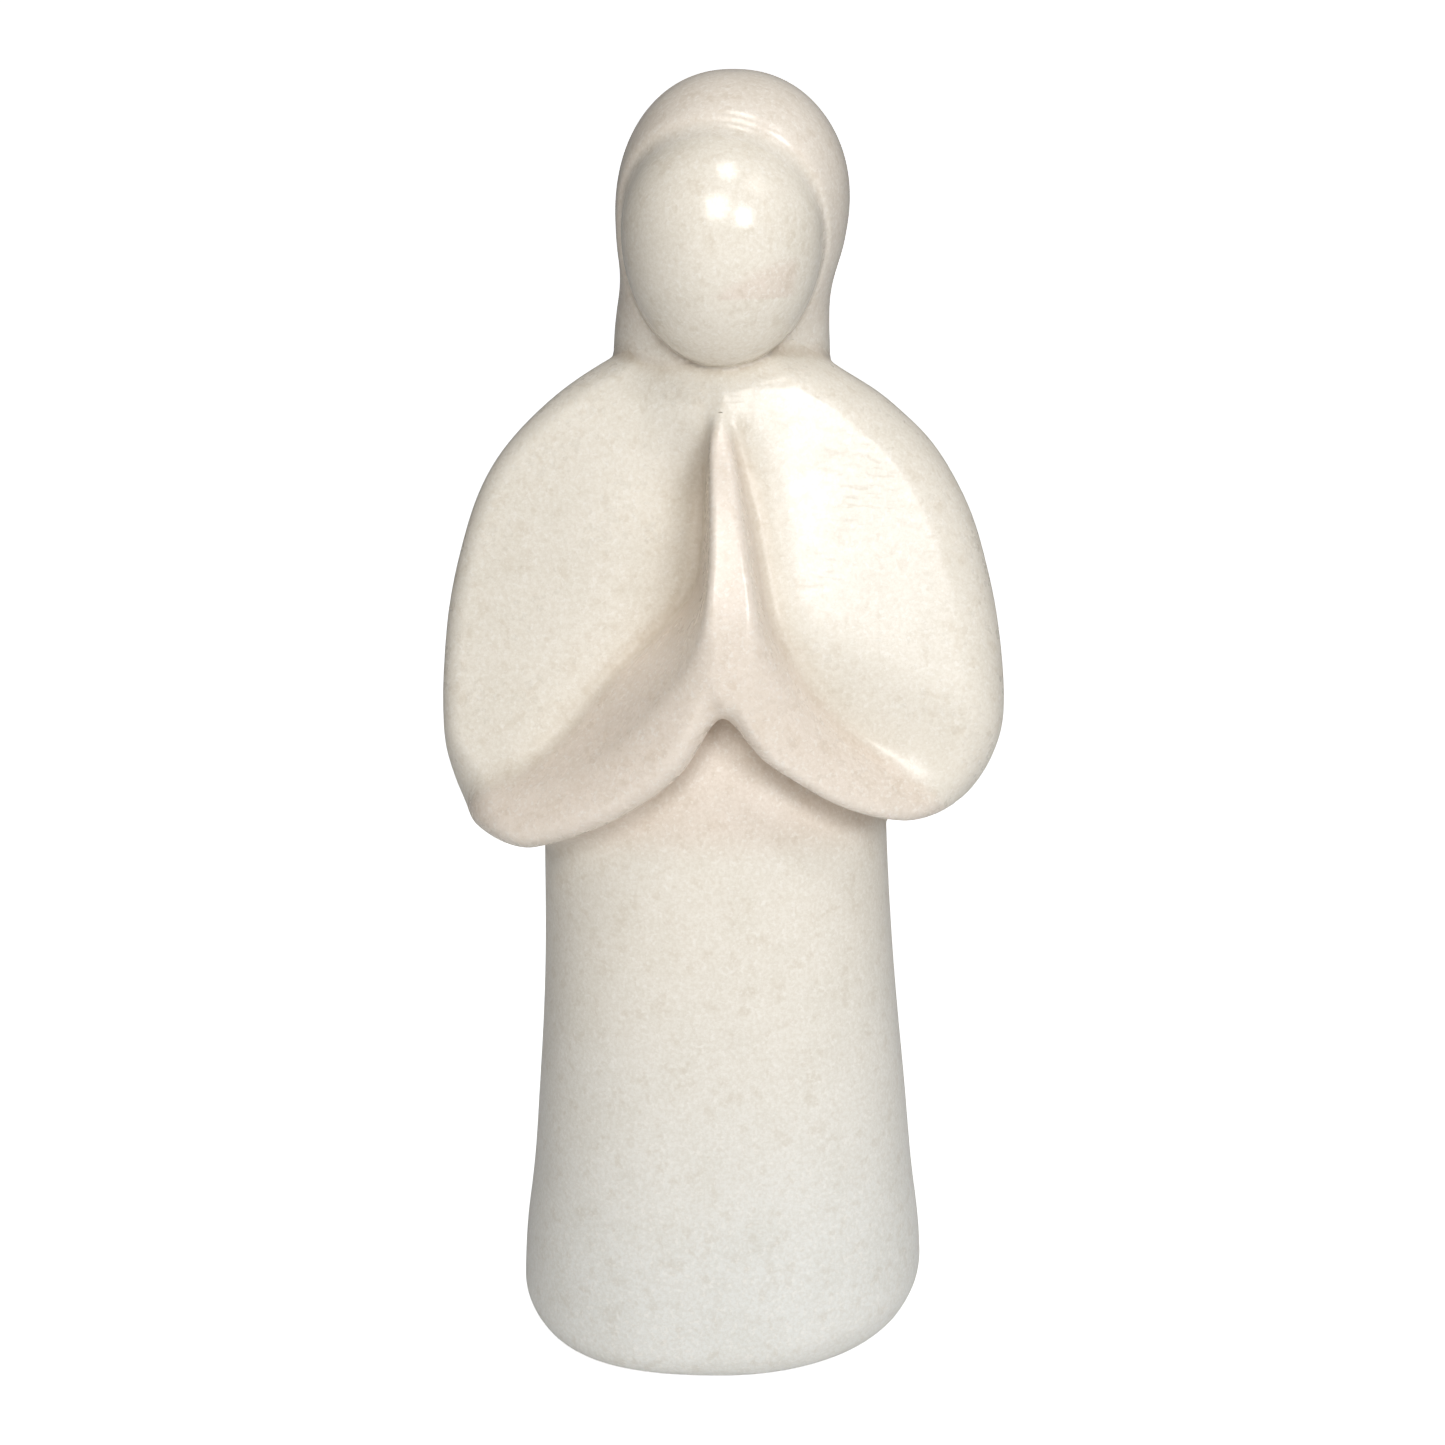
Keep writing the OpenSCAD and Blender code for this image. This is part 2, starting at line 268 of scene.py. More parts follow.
def armField(x, y, z):
    a = armShape
    h = armHeight(x, z)
    hz = slope(armFront, z)
    front = (-y - h) / np.sqrt(1 + (x / a["frontRound"]) ** 2 + hz * hz)
    left, right = armOutline(x, z)
    reach = step(z, *a["sleeveSpan"])  # 0 along the hands, 1 along the sleeves
    slant = a["leftSlant"] + (a["rightSlant"] - a["leftSlant"]) * step(x, *a["slantBlend"])
    slant = slant + (a["sleeveSlant"] - slant) * reach
    flank = np.maximum(left, right) - slant * np.maximum(y + h, 0)
    flank = flank / np.sqrt(1 + slant * slant)
    edge = a["handEdge"] + (a["sleeveEdge"] - a["handEdge"]) * reach
    return roundEdge(front, flank, edge)


veilShape = {
    "halfWidth": [(140, 16.6), (150, 16.6), (157, 16.6), (161, 16.4), (164, 16.2), (167, 16.1),
                  (170, 16.4), (173, 17.0), (177, 17.5), (210, 17.5)],
    "halfDepth": [(140, 13.0), (157, 13.2), (164, 14.2), (170, 16.4), (177, 18.4), (210, 18.4)],
    "centreX": [(140, -0.1), (158, -0.1), (164, 0.1), (170, 0.8), (176, 1.3), (210, 1.4)],
    "centreY": [(140, 5.0), (157, 4.8), (164, 3.8), (170, 3.0), (177, 2.5), (210, 2.5)],
    "crownFrom": 177.0, "crownHeight": 22.75, "crownSquare": 2.2, "square": 2.1,
    "bottom": 149.0,
    "tailHalf": 18.0, "tailTop": 157.0, "tailLength": 23.0, "tailRise": 1.5, "tailSunk": 2.0,
    "tailEdge": 1.3, "tailFrom": 11.0, "tailEnd": 160.0, "tailWrap": 1.3, "tailSlope": 0.75,
}
veilW, veilD, veilX, veilY = (curve(veilShape[k]) for k in ("halfWidth", "halfDepth", "centreX", "centreY"))


def veilField(x, y, z, side):
    v = veilShape
    w, d = at(veilW, z), at(veilD, z)
    n, p = v["square"], v["crownSquare"]
    ux = np.abs(x - at(veilX, z)) / w
    uy = np.abs(y - at(veilY, z)) / d
    uz = np.maximum(z - v["crownFrom"], 0) / v["crownHeight"]
    r = (ux ** n + uy ** n) ** (1 / n) + 1e-6
    q = (r ** p + uz ** p) ** (1 / p) + 1e-6
    s = (r / q) ** (p - 1)
    gx = s * (ux / r) ** (n - 1) / w
    gy = s * (uy / r) ** (n - 1) / d
    gz = (uz / q) ** (p - 1) / v["crownHeight"]
    head = (q - 1) / np.maximum(np.sqrt(gx * gx + gy * gy + gz * gz), 0.01)
    head = np.maximum(head, v["bottom"] - z)
    # the tail is a thin shell laid on the cloak's back, with a rounded hem
    across = np.minimum(np.abs(x) / v["tailHalf"], v["tailWrap"])
    drop = v["tailTop"] - v["tailLength"] * (1 - across ** 2)
    shell = np.maximum(side - v["tailRise"], -side - v["tailSunk"])
    tail = roundEdge(shell, (drop - z) * v["tailSlope"], v["tailEdge"])
    tail = np.maximum(tail, np.maximum(v["tailFrom"] - y, z - v["tailEnd"]))
    return head, tail


faceShape = {"centre": (0.0, -7.0, 176.66), "half": 15.0, "low": 20.16, "high": 15.84}


def faceField(x, y, z):
    f = faceShape
    cx, cy, cz = f["centre"]
    dz = z - cz
    c = np.where(dz < 0, f["low"], f["high"])
    u, v, w = (x - cx) / f["half"], (y - cy) / f["half"], dz / c
    q = np.sqrt(u * u + v * v + w * w) + 1e-6
    return (q - 1) * q / np.sqrt((u / f["half"]) ** 2 + (v / f["half"]) ** 2 + (w / c) ** 2 + 1e-9)


pieceOrder = ["gown", "cloak", "praying_arms", "veil", "face"]
# radii of the carved creases where the forms meet
creaseShape = {
    "armLeft": 1.8, "armRight": 1.0, "armBlend": (0, 5), "elbow": 8.0, "elbowSpan": (20, 38),
    "hem": 0.6, "hemLeft": 3.4, "hemLeftX": (0, -14), "hemLeftY": (5, -8),
    "tail": 1.2,
    "hood": 1.2, "hoodSoft": 1.6, "egg": 0.7, "eggSoft": 0.8,
    "softLean": 0.6, "softSpan": (168, 186),
    "neck": 0.6,
}


def stoneFields(x, y, z):
    side = cloakSide(x, y, z)
    hem = hemField(x, y, z)
    gown = gownField(x, y, z)
    panel = panelField(x, y, z)
    arms = armField(x, y, z)
    head, tail = veilField(x, y, z, side)
    face = faceField(x, y, z)
    r = creaseShape
    valley = r["armLeft"] + r["armRight"] * step(x, *r["armBlend"]) + r["elbow"] * step(x, *r["elbowSpan"])
    body = roundEdge(side, softMin(arms, panel, valley), cloakRim(x, z))
    c = cloakShape
    lip = c["lipLeft"] + (c["lipRight"] - c["lipLeft"]) * step(x, *c["lipBlend"])
    lip = lip + (c["lipElbow"] - lip) * np.maximum(step(x, *c["lipElbowX"]), step(y, *c["lipElbowY"]))
    body = roundEdge(body, hem, lip)
    body = fillet(body, gown, r["hem"] + r["hemLeft"] * step(x, *r["hemLeftX"]) * step(y, *r["hemLeftY"]))
    body = softMin(body, tail, r["tail"])
    # the groove round the egg is softest at the upper left
    soft = step(z - r["softLean"] * x, *r["softSpan"])
    hood = roundEdge(head, -face, r["hood"] + r["hoodSoft"] * soft)
    top = fillet(face, hood, r["egg"] + r["eggSoft"] * soft)
    whole = fillet(body, top, r["neck"])
    block = np.maximum(side, hem)
    # each piece's own share of the stone, in the order of pieceOrder
    frontOnly = np.maximum(arms, y + armShape["backLimit"])
    own = [gown, np.maximum(block, panel), np.maximum(block, frontOnly), np.minimum(head, tail), face]
    return whole, own


def wholeOnly(p):
    return stoneFields(p[:, 0], p[:, 1], p[:, 2])[0]


def seamOf(own, k):
    rest = [own[i] for i in range(len(own)) if i != k]
    m = rest[0]
    for r in rest[1:]:
        m = np.minimum(m, r)
    return own[k] - m  # negative where piece k is the one that holds the point


# the block that the grid covers
lowCorner = np.array([-46.0, -30.5, -1.6])
highCorner = np.array([46.0, 29.5, 202.5])
farAway = 9.0
slabLayers = 6
coarseEvery = 4
coarseReach = 1.9
threads = 4
splitParts = 12


def sampleStone():
    ax = [np.arange(lowCorner[i], highCorner[i] + gridStep, gridStep, dtype=np.float32) for i in range(3)]
    nx, ny, nz = (len(a) for a in ax)
    # a coarse pass finds the cells that are near or inside the stone
    c = coarseEvery
    coarse = [a[::c] for a in ax]
    cx, cy, cz = np.meshgrid(*coarse, indexing="ij")
    f = stoneFields(cx.ravel(), cy.ravel(), cz.ravel())[0].reshape(cx.shape)
    near = f < gridStep * c * coarseReach
    near = np.repeat(np.repeat(np.repeat(near, c, 0), c, 1), c, 2)[:nx, :ny, :nz]
    grown = near.copy()
    for axis in range(3):
        for s in (-c, c // 2, c):
            grown |= np.roll(near, s, axis)
        near = grown.copy()
    whole = np.full((nx, ny, nz), farAway, np.float32)
    seams = [np.full((nx, ny, nz), farAway, np.float32) for _ in pieceOrder]

    def slab(z0):
        ids = np.nonzero(grown[:, :, z0:z0 + slabLayers])
        if len(ids[0]) == 0:
            return
        w, own = stoneFields(ax[0][ids[0]], ax[1][ids[1]], ax[2][ids[2] + z0])
        whole[ids[0], ids[1], ids[2] + z0] = w
        for k in range(len(pieceOrder)):
            seams[k][ids[0], ids[1], ids[2] + z0] = seamOf(own, k)

    with ThreadPoolExecutor(threads) as pool:
        list(pool.map(slab, range(0, nz, slabLayers)))
    return ax, whole, seams


def seamOnly(k):
    return lambda p: seamOf(stoneFields(p[:, 0], p[:, 1], p[:, 2])[1], k)


def gradient(field, p, e=0.06):
    p = p.astype(np.float64)
    g = np.empty((len(p), 3))
    for i in range(3):
        d = np.zeros(3)
        d[i] = e
        g[:, i] = (field(p + d) - field(p - d)) / (2 * e)
    return g


def runSplit(fn, p):
    # the same work on several threads
    if len(p) == 0:
        return np.zeros((0,) + fn(np.zeros((1, 3))).shape[1:])
    parts = np.array_split(p, splitParts)
    with ThreadPoolExecutor(threads) as pool:
        return np.concatenate(list(pool.map(fn, [q for q in parts if len(q)])))


# guards for the walk onto the surface, in millimetres or as plain ratios
walkLimits = {
    "flatSlope": 0.05, "skinStep": 0.5,
    "parallel": 0.08, "seamStep": 0.6,
    "stray": 1.3, "miss": 0.03,
    "normalReach": 0.2, "turn": 0.7,
}


def settle(p, field, rounds=3):
    # walks points onto a surface
    for _ in range(rounds):
        f = runSplit(field, p)
        g = runSplit(lambda q: gradient(field, q), p)
        s = f / np.maximum((g * g).sum(1), walkLimits["flatSlope"])
        s = np.clip(s, -walkLimits["skinStep"], walkLimits["skinStep"])
        p = p - g * s[:, None]
    return p


def settleOnBoth(p, fieldA, fieldB, rounds=4):
    # walks points onto the line where two surfaces cross
    for _ in range(rounds):
        a, b = runSplit(fieldA, p), runSplit(fieldB, p)
        ga = runSplit(lambda q: gradient(fieldA, q), p)
        gb = runSplit(lambda q: gradient(fieldB, q), p)
        aa, bb, ab = (ga * ga).sum(1), (gb * gb).sum(1), (ga * gb).sum(1)
        det = np.maximum(aa * bb - ab * ab, walkLimits["parallel"] * aa * bb + 1e-6)
        u = (bb * a - ab * b) / det
        v = (aa * b - ab * a) / det
        d = ga * u[:, None] + gb * v[:, None]
        size = np.linalg.norm(d, axis=1)
        d *= np.minimum(1, walkLimits["seamStep"] / np.maximum(size, 1e-6))[:, None]
        p = p - d
    return p


maskShape = {
    "reach": 1.4, "gain": 5, "smoothing": 8, "coolFrom": 92,
    "ridge": 0.85, "ridgeOut": (-0.5, 3.5), "ridgeFront": (-6, -12), "ridgeUp": (80, 90),
    "veil": 0.45, "veilUp": (156, 166), "veilOffFace": (0.2, 1.5),
}


def stoneMasks(p, normal):
    # warm ridges, cool foot, painted shade in the hollows and worn edges, kept on the mesh for the material
    # to use
    s = maskShape
    x, y, z = p[:, 0], p[:, 1], p[:, 2]
    side = np.cross(normal, (0.2, 0.3, 0.93))
    side /= np.maximum(np.linalg.norm(side, axis=1), 1e-6)[:, None]
    up = np.cross(side, normal)
    ring = np.zeros(len(p))
    for d in (side, -side, up, -up):
        ring += runSplit(wholeOnly, p + s["reach"] * d) / (4 * s["reach"])
    ridge = step(panelField(x, y, z) - armField(x, y, z), *s["ridgeOut"])
    ridge = ridge * step(y, *s["ridgeFront"]) * step(z, *s["ridgeUp"])
    veil = step(z, *s["veilUp"]) * step(faceField(x, y, z), *s["veilOffFace"])
    warm = np.clip(s["ridge"] * ridge + s["veil"] * veil, 0, 1)
    cool = np.clip((s["coolFrom"] - z) / s["coolFrom"], 0, 1)
    # painted shade: the concave mask darkens the colour in creases and hollows; the convex one marks worn
    # edges
    creaseShade, worn = np.clip(-ring * s["gain"], 0, 1), np.clip(ring * s["gain"], 0, 1)
    return np.stack([warm, cool, creaseShade, worn], 1)


def pieceMesh(name, k, ax, whole, seams):
    field = np.maximum(whole, seams[k])
    inside = np.argwhere(field < 0)
    lo = np.maximum(inside.min(0) - 3, 0)
    hi = inside.max(0) + 4
    cut = tuple(slice(lo[i], hi[i]) for i in range(3))
    box = np.ascontiguousarray(field[cut])
    grid = openvdb.FloatGrid()
    grid.copyFromArray(box)
    pts, quads = grid.convertToQuads()
    cell = np.floor(pts + 1e-4).astype(int)
    cell = np.clip(cell, 0, np.array(box.shape) - 2) + lo
    near = [(cell[:, 0] + i, cell[:, 1] + j, cell[:, 2] + m)
            for i in (0, 1) for j in (0, 1) for m in (0, 1)]
    w = np.stack([whole[corner] for corner in near])
    s = np.stack([seams[k][corner] for corner in near])
    onSkin = (w.min(0) < 0) & (w.max(0) >= 0)
    onSeam = (s.min(0) < 0) & (s.max(0) >= 0)
    p = (pts + lo) * gridStep + np.array([a[0] for a in ax])
    seamField = seamOnly(k)
    skin, seam, both = onSkin & ~onSeam, onSeam & ~onSkin, onSkin & onSeam
    p[skin] = settle(p[skin], wholeOnly)
    p[seam] = settle(p[seam], seamField, 2)
    # points that run too far along a shallow seam go back to the skin alone
    start = p[both]
    p[both] = settleOnBoth(start, wholeOnly, seamField)
    strayed = np.linalg.norm(p[both] - start, axis=1) > walkLimits["stray"] * gridStep
    missed = np.abs(runSplit(wholeOnly, p[both])) > walkLimits["miss"]
    redo = np.nonzero(both)[0][strayed | missed]
    p[redo] = settle(start[strayed | missed], wholeOnly)
    skinNormal = runSplit(lambda q: gradient(wholeOnly, q, walkLimits["normalReach"]), p)
    skinNormal /= np.maximum(np.linalg.norm(skinNormal, axis=1), 1e-6)[:, None]
    # faces that turn inwards at the seams are flat shaded by their own direction
    a, b, c, d = (p[quads[:, i]] for i in range(4))
    faceNormal = np.cross(c - a, d - b)
    volume = np.einsum("ij,ij->i", (a + b + c + d) / 4, faceNormal).sum()
    if volume < 0:
        quads = quads[:, ::-1]
        faceNormal = -faceNormal
    faceNormal /= np.maximum(np.linalg.norm(faceNormal, axis=1), 1e-9)[:, None]
    seamVotes = seam[quads].sum(1)
    skinVotes = skin[quads].sum(1)
    agree = np.einsum("ij,ij->i", faceNormal, skinNormal[quads].mean(1))
    inner = (seamVotes > skinVotes) | ((seamVotes == skinVotes) & (agree < walkLimits["turn"]))
    tint = stoneMasks(p, skinNormal)
    ring, after = quads.ravel(), np.roll(quads, -1, 1).ravel()
    shown = (skin | both).astype(float)  # faces inside the stone stay out of the average
    count = np.bincount(ring, shown[after], len(p))
    tint[shown == 0, 2:] = 0
    for _ in range(maskShape["smoothing"]):
        for i in (2, 3):
            mean = np.bincount(ring, tint[after, i] * shown[after], len(p)) / np.maximum(count, 1)
            tint[:, i] = np.where(count > 0, 0.5 * tint[:, i] + 0.5 * mean, tint[:, i])
    loops = skinNormal[quads]
    loops[inner] = faceNormal[inner][:, None, :]
    mesh = bpy.data.meshes.new(name)
    mesh.from_pydata((p / 1000).tolist(), [], quads.tolist())
    mesh.polygons.foreach_set("use_smooth", np.ones(len(mesh.polygons), bool))
    mesh.update()
    mesh.normals_split_custom_set(loops.reshape(-1, 3).tolist())
    layer = mesh.attributes.new("stoneTintAndShade", "FLOAT_COLOR", "POINT")
    layer.data.foreach_set("color", tint.astype(np.float32).ravel())
    piece = bpy.data.objects.new(name + "_stone", mesh)
    bpy.context.scene.collection.objects.link(piece)
    print(name, len(quads), "quads", both.sum(), "seam points")
    return piece


ax, whole, seams = sampleStone()
print("stone sampled", whole.shape)
pieces = {n: pieceMesh(n, k, ax, whole, seams) for k, n in enumerate(pieceOrder)}


def newGroup(name, inputs, outputs):
    g = bpy.data.node_groups.new(name, "ShaderNodeTree")
    for label, kind, value in inputs:
        s = g.interface.new_socket(label, in_out="INPUT", socket_type=kind)
        s.default_value = value
    for label, kind in outputs:
        g.interface.new_socket(label, in_out="OUTPUT", socket_type=kind)
    return g, g.nodes.new("NodeGroupInput"), g.nodes.new("NodeGroupOutput")


def linkOrSet(links, socket, value):
    if isinstance(value, (int, float, tuple)):
        socket.default_value = value
    else:
        links.new(value, socket)


def mathNode(g, op, a, b):
    m = g.nodes.new("ShaderNodeMath")
    m.operation = op
    linkOrSet(g.links, m.inputs[0], a)
    linkOrSet(g.links, m.inputs[1], b)
    return m.outputs[0]


def mixNode(g, kind, fac, a, b):
    m = g.nodes.new("ShaderNodeMix")
    m.data_type = "RGBA"
    m.blend_type = kind
    linkOrSet(g.links, m.inputs[0], fac)
    linkOrSet(g.links, m.inputs[6], a)
    linkOrSet(g.links, m.inputs[7], b)
    return m.outputs[2]


def rampNode(g, value, lo, hi):
    r = g.nodes.new("ShaderNodeMapRange")
    r.interpolation_type = "SMOOTHSTEP"
    r.inputs["From Min"].default_value = lo
    r.inputs["From Max"].default_value = hi
    g.links.new(value, r.inputs["Value"])
    return r.outputs["Result"]


def noiseNode(g, scale, detail, rough, turn=None, stretch=None):
    tc = g.nodes.new("ShaderNodeTexCoord")
    t = g.nodes.new("ShaderNodeTexNoise")
    t.inputs["Detail"].default_value = detail
    t.inputs["Roughness"].default_value = rough
    linkOrSet(g.links, t.inputs["Scale"], scale)
    if stretch:
        m = g.nodes.new("ShaderNodeMapping")
        m.inputs["Rotation"].default_value = turn
        m.inputs["Scale"].default_value = stretch
        g.links.new(tc.outputs["Object"], m.inputs["Vector"])
        g.links.new(m.outputs["Vector"], t.inputs["Vector"])
    else:
        g.links.new(tc.outputs["Object"], t.inputs["Vector"])
    return t.outputs["Fac"]


def stoneGroup():
    # cloudy tone, fine grain and pale flecks of the stone itself, with worn edges and painted shade in the
    # creases laid on top; noise scales are per metre
    g, gin, gout = newGroup(
        "soapstoneTone",
        [("Base", "NodeSocketColor", (0.8, 0.76, 0.68, 1)), ("Warm", "NodeSocketColor", (0.8, 0.7, 0.6, 1)),
         ("Cool", "NodeSocketColor", (0.75, 0.76, 0.7, 1)), ("Warm Mask", "NodeSocketFloat", 0.0),
         ("Cool Mask", "NodeSocketFloat", 0.0), ("Crease", "NodeSocketFloat", 0.0),
         ("Edge", "NodeSocketFloat", 0.0), ("Cloud Scale", "NodeSocketFloat", 60.0),
         ("Grain Scale", "NodeSocketFloat", 900.0)],
        [("Color", "NodeSocketColor"), ("Grain", "NodeSocketFloat")])
    cloud = noiseNode(g, gin.outputs["Cloud Scale"], 5.0, 0.55)
    drift = noiseNode(g, 19.0, 3.0, 0.5)
    grain = noiseNode(g, gin.outputs["Grain Scale"], 3.0, 0.7)
    speck = noiseNode(g, 480.0, 2.0, 0.5)
    fleck = noiseNode(g, 1500.0, 2.0, 0.6)
    drifted = mathNode(g, "MULTIPLY", mathNode(g, "SUBTRACT", drift, 0.5), 0.6)
    warm = rampNode(g, mathNode(g, "ADD", gin.outputs["Warm Mask"], drifted), 0.0, 1.0)
    warm = mathNode(g, "MULTIPLY", warm, 0.9)
    cool = rampNode(g, mathNode(g, "ADD", gin.outputs["Cool Mask"], drifted), 0.05, 1.0)
    c = mixNode(g, "MIX", warm, gin.outputs["Base"], gin.outputs["Warm"])
    c = mixNode(g, "MIX", cool, c, gin.outputs["Cool"])
    # how each layer lies over the last: blend, mask, strength, colour
    layers = [("MULTIPLY", rampNode(g, cloud, 0.42, 0.72), 0.35, (0.90, 0.895, 0.87, 1)),
              ("MULTIPLY", rampNode(g, grain, 0.35, 0.65), 0.55, (0.86, 0.83, 0.785, 1)),
              ("MULTIPLY", rampNode(g, speck, 0.54, 0.68), 0.26, (0.78, 0.72, 0.64, 1)),
              ("MIX", rampNode(g, fleck, 0.54, 0.68), 0.35, (0.93, 0.90, 0.85, 1)),
              # painted shade: the crease mask darkens the colour in hollows and creases
              ("MULTIPLY", gin.outputs["Crease"], 0.70, (0.70, 0.62, 0.54, 1)),
              ("MIX", gin.outputs["Edge"], 0.16, (0.90, 0.86, 0.80, 1))]
    for blend, mask, strength, tint in layers:
        c = mixNode(g, blend, mathNode(g, "MULTIPLY", mask, strength), c, tint)
    g.links.new(c, gout.inputs["Color"])
    g.links.new(grain, gout.inputs["Grain"])
    return g


def waxGroup():
    # hand polish: patchy gloss, duller in the creases, with fine sanding lines left in it
    g, gin, gout = newGroup(
        "waxPolish",
        [("Roughness", "NodeSocketFloat", 0.36), ("Patchiness", "NodeSocketFloat", 0.08),
         ("Sanding", "NodeSocketFloat", 0.3), ("Grain", "NodeSocketFloat", 0.5),
         ("Crease", "NodeSocketFloat", 0.0)],
        [("Roughness", "NodeSocketFloat"), ("Height", "NodeSocketFloat")])
    patch = noiseNode(g, 110.0, 2.0, 0.5)
    fine = noiseNode(g, 700.0, 2.0, 0.5)
    lines = noiseNode(g, 1700.0, 1.0, 0.4, (0.0, math.radians(28), 0.0), (0.05, 1.0, 1.0))
    where = noiseNode(g, 70.0, 2.0, 0.5)
    scratch = mathNode(g, "MULTIPLY", rampNode(g, lines, 0.56, 0.68), rampNode(g, where, 0.48, 0.66))
    scratch = mathNode(g, "MULTIPLY", scratch, gin.outputs["Sanding"])
    uneven = mathNode(g, "ADD", mathNode(g, "SUBTRACT", patch, 0.5), mathNode(g, "SUBTRACT", fine, 0.5))
    rough = gin.outputs["Roughness"]
    layers = [(uneven, gin.outputs["Patchiness"]), (scratch, 0.30), (gin.outputs["Crease"], 0.2)]
    for part, strength in layers:
        rough = mathNode(g, "ADD", rough, mathNode(g, "MULTIPLY", part, strength))
    g.links.new(rough, gout.inputs["Roughness"])
    bumps = mathNode(g, "MULTIPLY", gin.outputs["Grain"], 0.5)
    height = mathNode(g, "ADD", bumps, mathNode(g, "MULTIPLY", patch, 1.5))
    height = mathNode(g, "SUBTRACT", height, mathNode(g, "MULTIPLY", scratch, 1.2))
    g.links.new(height, gout.inputs["Height"])
    return g


stoneTone = stoneGroup()
waxPolish = waxGroup()

# one stone, so the five looks stay close together
stoneLooks = {
    "gown": {"base": (0.825, 0.777, 0.696), "rough": 0.32, "patchy": 0.10, "sanding": 0.35},
    "cloak": {"base": (0.820, 0.770, 0.685), "rough": 0.31, "patchy": 0.22, "sanding": 1.2},
    "praying_arms": {"base": (0.820, 0.768, 0.683), "rough": 0.27, "patchy": 0.10, "sanding": 0.15},
    "veil": {"base": (0.825, 0.776, 0.700), "rough": 0.22, "patchy": 0.10, "sanding": 0.05},
    "face": {"base": (0.835, 0.782, 0.692), "rough": 0.20, "patchy": 0.07, "sanding": 0.0},
}
stoneTones = {
    "warm": (0.795, 0.700, 0.612, 1), "cool": (0.795, 0.795, 0.765, 1),
    "cloudScale": 130.0, "grainScale": 1700.0,
    "bump": 0.07, "bumpHeight": 0.0002,
    "waxCoat": 0.08, "waxCoatRough": 0.15,
}


def stoneMaterial(name, look):
    m = bpy.data.materials.new(name)
    m.use_nodes = True
    n, l = m.node_tree.nodes, m.node_tree.links
    p = n["Principled BSDF"]
    masks = n.new("ShaderNodeAttribute")
    masks.attribute_name = "stoneTintAndShade"
    split = n.new("ShaderNodeSeparateColor")
    l.new(masks.outputs["Color"], split.inputs[0])
    tone = n.new("ShaderNodeGroup")
    tone.node_tree = stoneTone
    tone.inputs["Base"].default_value = (*look["base"], 1)
    tone.inputs["Warm"].default_value = stoneTones["warm"]
    tone.inputs["Cool"].default_value = stoneTones["cool"]
    tone.inputs["Cloud Scale"].default_value = stoneTones["cloudScale"]
    tone.inputs["Grain Scale"].default_value = stoneTones["grainScale"]
    l.new(split.outputs[0], tone.inputs["Warm Mask"])
    l.new(split.outputs[1], tone.inputs["Cool Mask"])
    # the crease channel paints shade into the colour here and, below, dulls the gloss
    l.new(split.outputs[2], tone.inputs["Crease"])
    l.new(masks.outputs["Alpha"], tone.inputs["Edge"])
    wax = n.new("ShaderNodeGroup")
    wax.node_tree = waxPolish
    wax.inputs["Roughness"].default_value = look["rough"]
    wax.inputs["Patchiness"].default_value = look["patchy"]
    wax.inputs["Sanding"].default_value = look["sanding"]
    l.new(tone.outputs["Grain"], wax.inputs["Grain"])
    l.new(split.outputs[2], wax.inputs["Crease"])
    bump = n.new("ShaderNodeBump")
    bump.inputs["Strength"].default_value = stoneTones["bump"]
    bump.inputs["Distance"].default_value = stoneTones["bumpHeight"]
    l.new(wax.outputs["Height"], bump.inputs["Height"])
    l.new(bump.outputs["Normal"], p.inputs["Normal"])
    l.new(tone.outputs["Color"], p.inputs["Base Color"])
    l.new(wax.outputs["Roughness"], p.inputs["Roughness"])
    p.inputs["IOR"].default_value = 1.5
    p.inputs["Coat Weight"].default_value = stoneTones["waxCoat"]
    p.inputs["Coat Roughness"].default_value = stoneTones["waxCoatRough"]
    return m


for name, piece in pieces.items():
    piece.data.materials.append(stoneMaterial(name + "_soapstone", stoneLooks[name]))
    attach(piece, "root")
    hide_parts(name)
print("stone dressed")


cameraSetup = {"place": (0.0, -0.43663, 0.20887), "target": (0.0, 0.0, 0.100), "lens": 71.62}
scene = bpy.context.scene
cam = bpy.data.objects.new("camera", bpy.data.cameras.new("camera"))
scene.collection.objects.link(cam)
cam.location = cameraSetup["place"]
cam.rotation_euler = (Vector(cameraSetup["target"]) - cam.location).to_track_quat("-Z", "Y").to_euler()
cam.data.lens = cameraSetup["lens"]
cam.data.sensor_width = 36.0
cam.data.clip_start = 0.01
scene.camera = cam
scene.view_settings.view_transform = "Standard"

# a pale sheet that sweeps up behind the statue
sweepShape = {
    "front": -3.0, "turn": 0.9, "radius": 0.7, "steps": 12, "stepAngle": 0.13,
    "back": 1.62, "top": 3.0, "half": 4, "glow": 0.85,
}
floorMesh = bpy.data.meshes.new("floor")
sweep = [(sweepShape["front"], 0.0), (sweepShape["turn"], 0.0)]
for t in range(1, sweepShape["steps"] + 1):
    angle = t * sweepShape["stepAngle"]
    y = sweepShape["turn"] + sweepShape["radius"] * math.sin(angle)
    sweep.append((y, sweepShape["radius"] - sweepShape["radius"] * math.cos(angle)))
sweep.append((sweepShape["back"], sweepShape["top"]))
floorMesh.from_pydata([(s * sweepShape["half"], y, z) for y, z in sweep for s in (-1, 1)], [],
                      [(2 * i, 2 * i + 1, 2 * i + 3, 2 * i + 2) for i in range(len(sweep) - 1)])
floorMesh.polygons.foreach_set("use_smooth", [True] * len(floorMesh.polygons))
floor = bpy.data.objects.new("floor", floorMesh)
scene.collection.objects.link(floor)
floorLook = bpy.data.materials.new("pale_floor")
floorLook.use_nodes = True
floorTree = floorLook.node_tree
floorPaint = floorTree.nodes["Principled BSDF"]
floorPaint.inputs["Base Color"].default_value = (0.86, 0.86, 0.86, 1)
